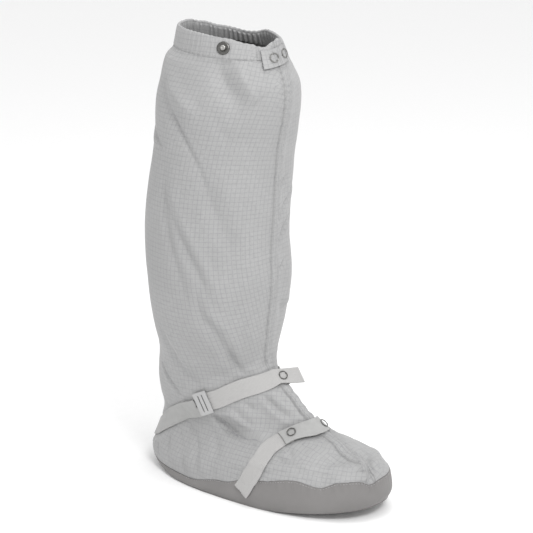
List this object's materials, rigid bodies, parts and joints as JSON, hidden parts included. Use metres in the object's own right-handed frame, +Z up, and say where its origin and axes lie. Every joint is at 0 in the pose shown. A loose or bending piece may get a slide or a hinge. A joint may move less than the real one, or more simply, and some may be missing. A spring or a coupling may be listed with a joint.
{
  "type": "cleanroom boot",
  "caption": "Knee-high cloth overboot with a soft coated sole, an elastic collar casing, a snap tab at the collar, and buckled and snapped straps over the ankle and instep.",
  "frame": {"origin": "under the middle of the boot's bounding box, on the floor plane the sole stands on", "axes": "+X towards the toe, +Y away from the side with the strap ends and snaps, +Z up the shaft"},
  "size_m": [0.2885, 0.1468, 0.4654],
  "materials": {
    "grid_cloth": "light grey polyester weave with a fine carbon thread grid",
    "coated_cloth": "darker grey cloth with a soft matte coating",
    "ribbed_elastic": "pale ribbed elastic tape",
    "pale_plastic": "pale grey moulded plastic",
    "snap_metal": "nickel-grey snap metal, slightly dulled"
  },
  "bodies": {
    "root": {"upper": "grid_cloth", "rand": "coated_cloth", "outsole": "coated_cloth", "ankle_tape": "grid_cloth", "ankle_tape_end": "grid_cloth", "ankle_slider": "pale_plastic", "ankle_elastic": "ribbed_elastic", "ankle_snap": "snap_metal", "instep_strap": "ribbed_elastic", "instep_tab": "grid_cloth", "instep_snap_a": "snap_metal", "instep_snap_b": "snap_metal", "collar_tab": "grid_cloth", "collar_snap_a": "snap_metal", "collar_snap_b": "snap_metal", "collar_stud": "snap_metal"}
  },
  "joints": []
}
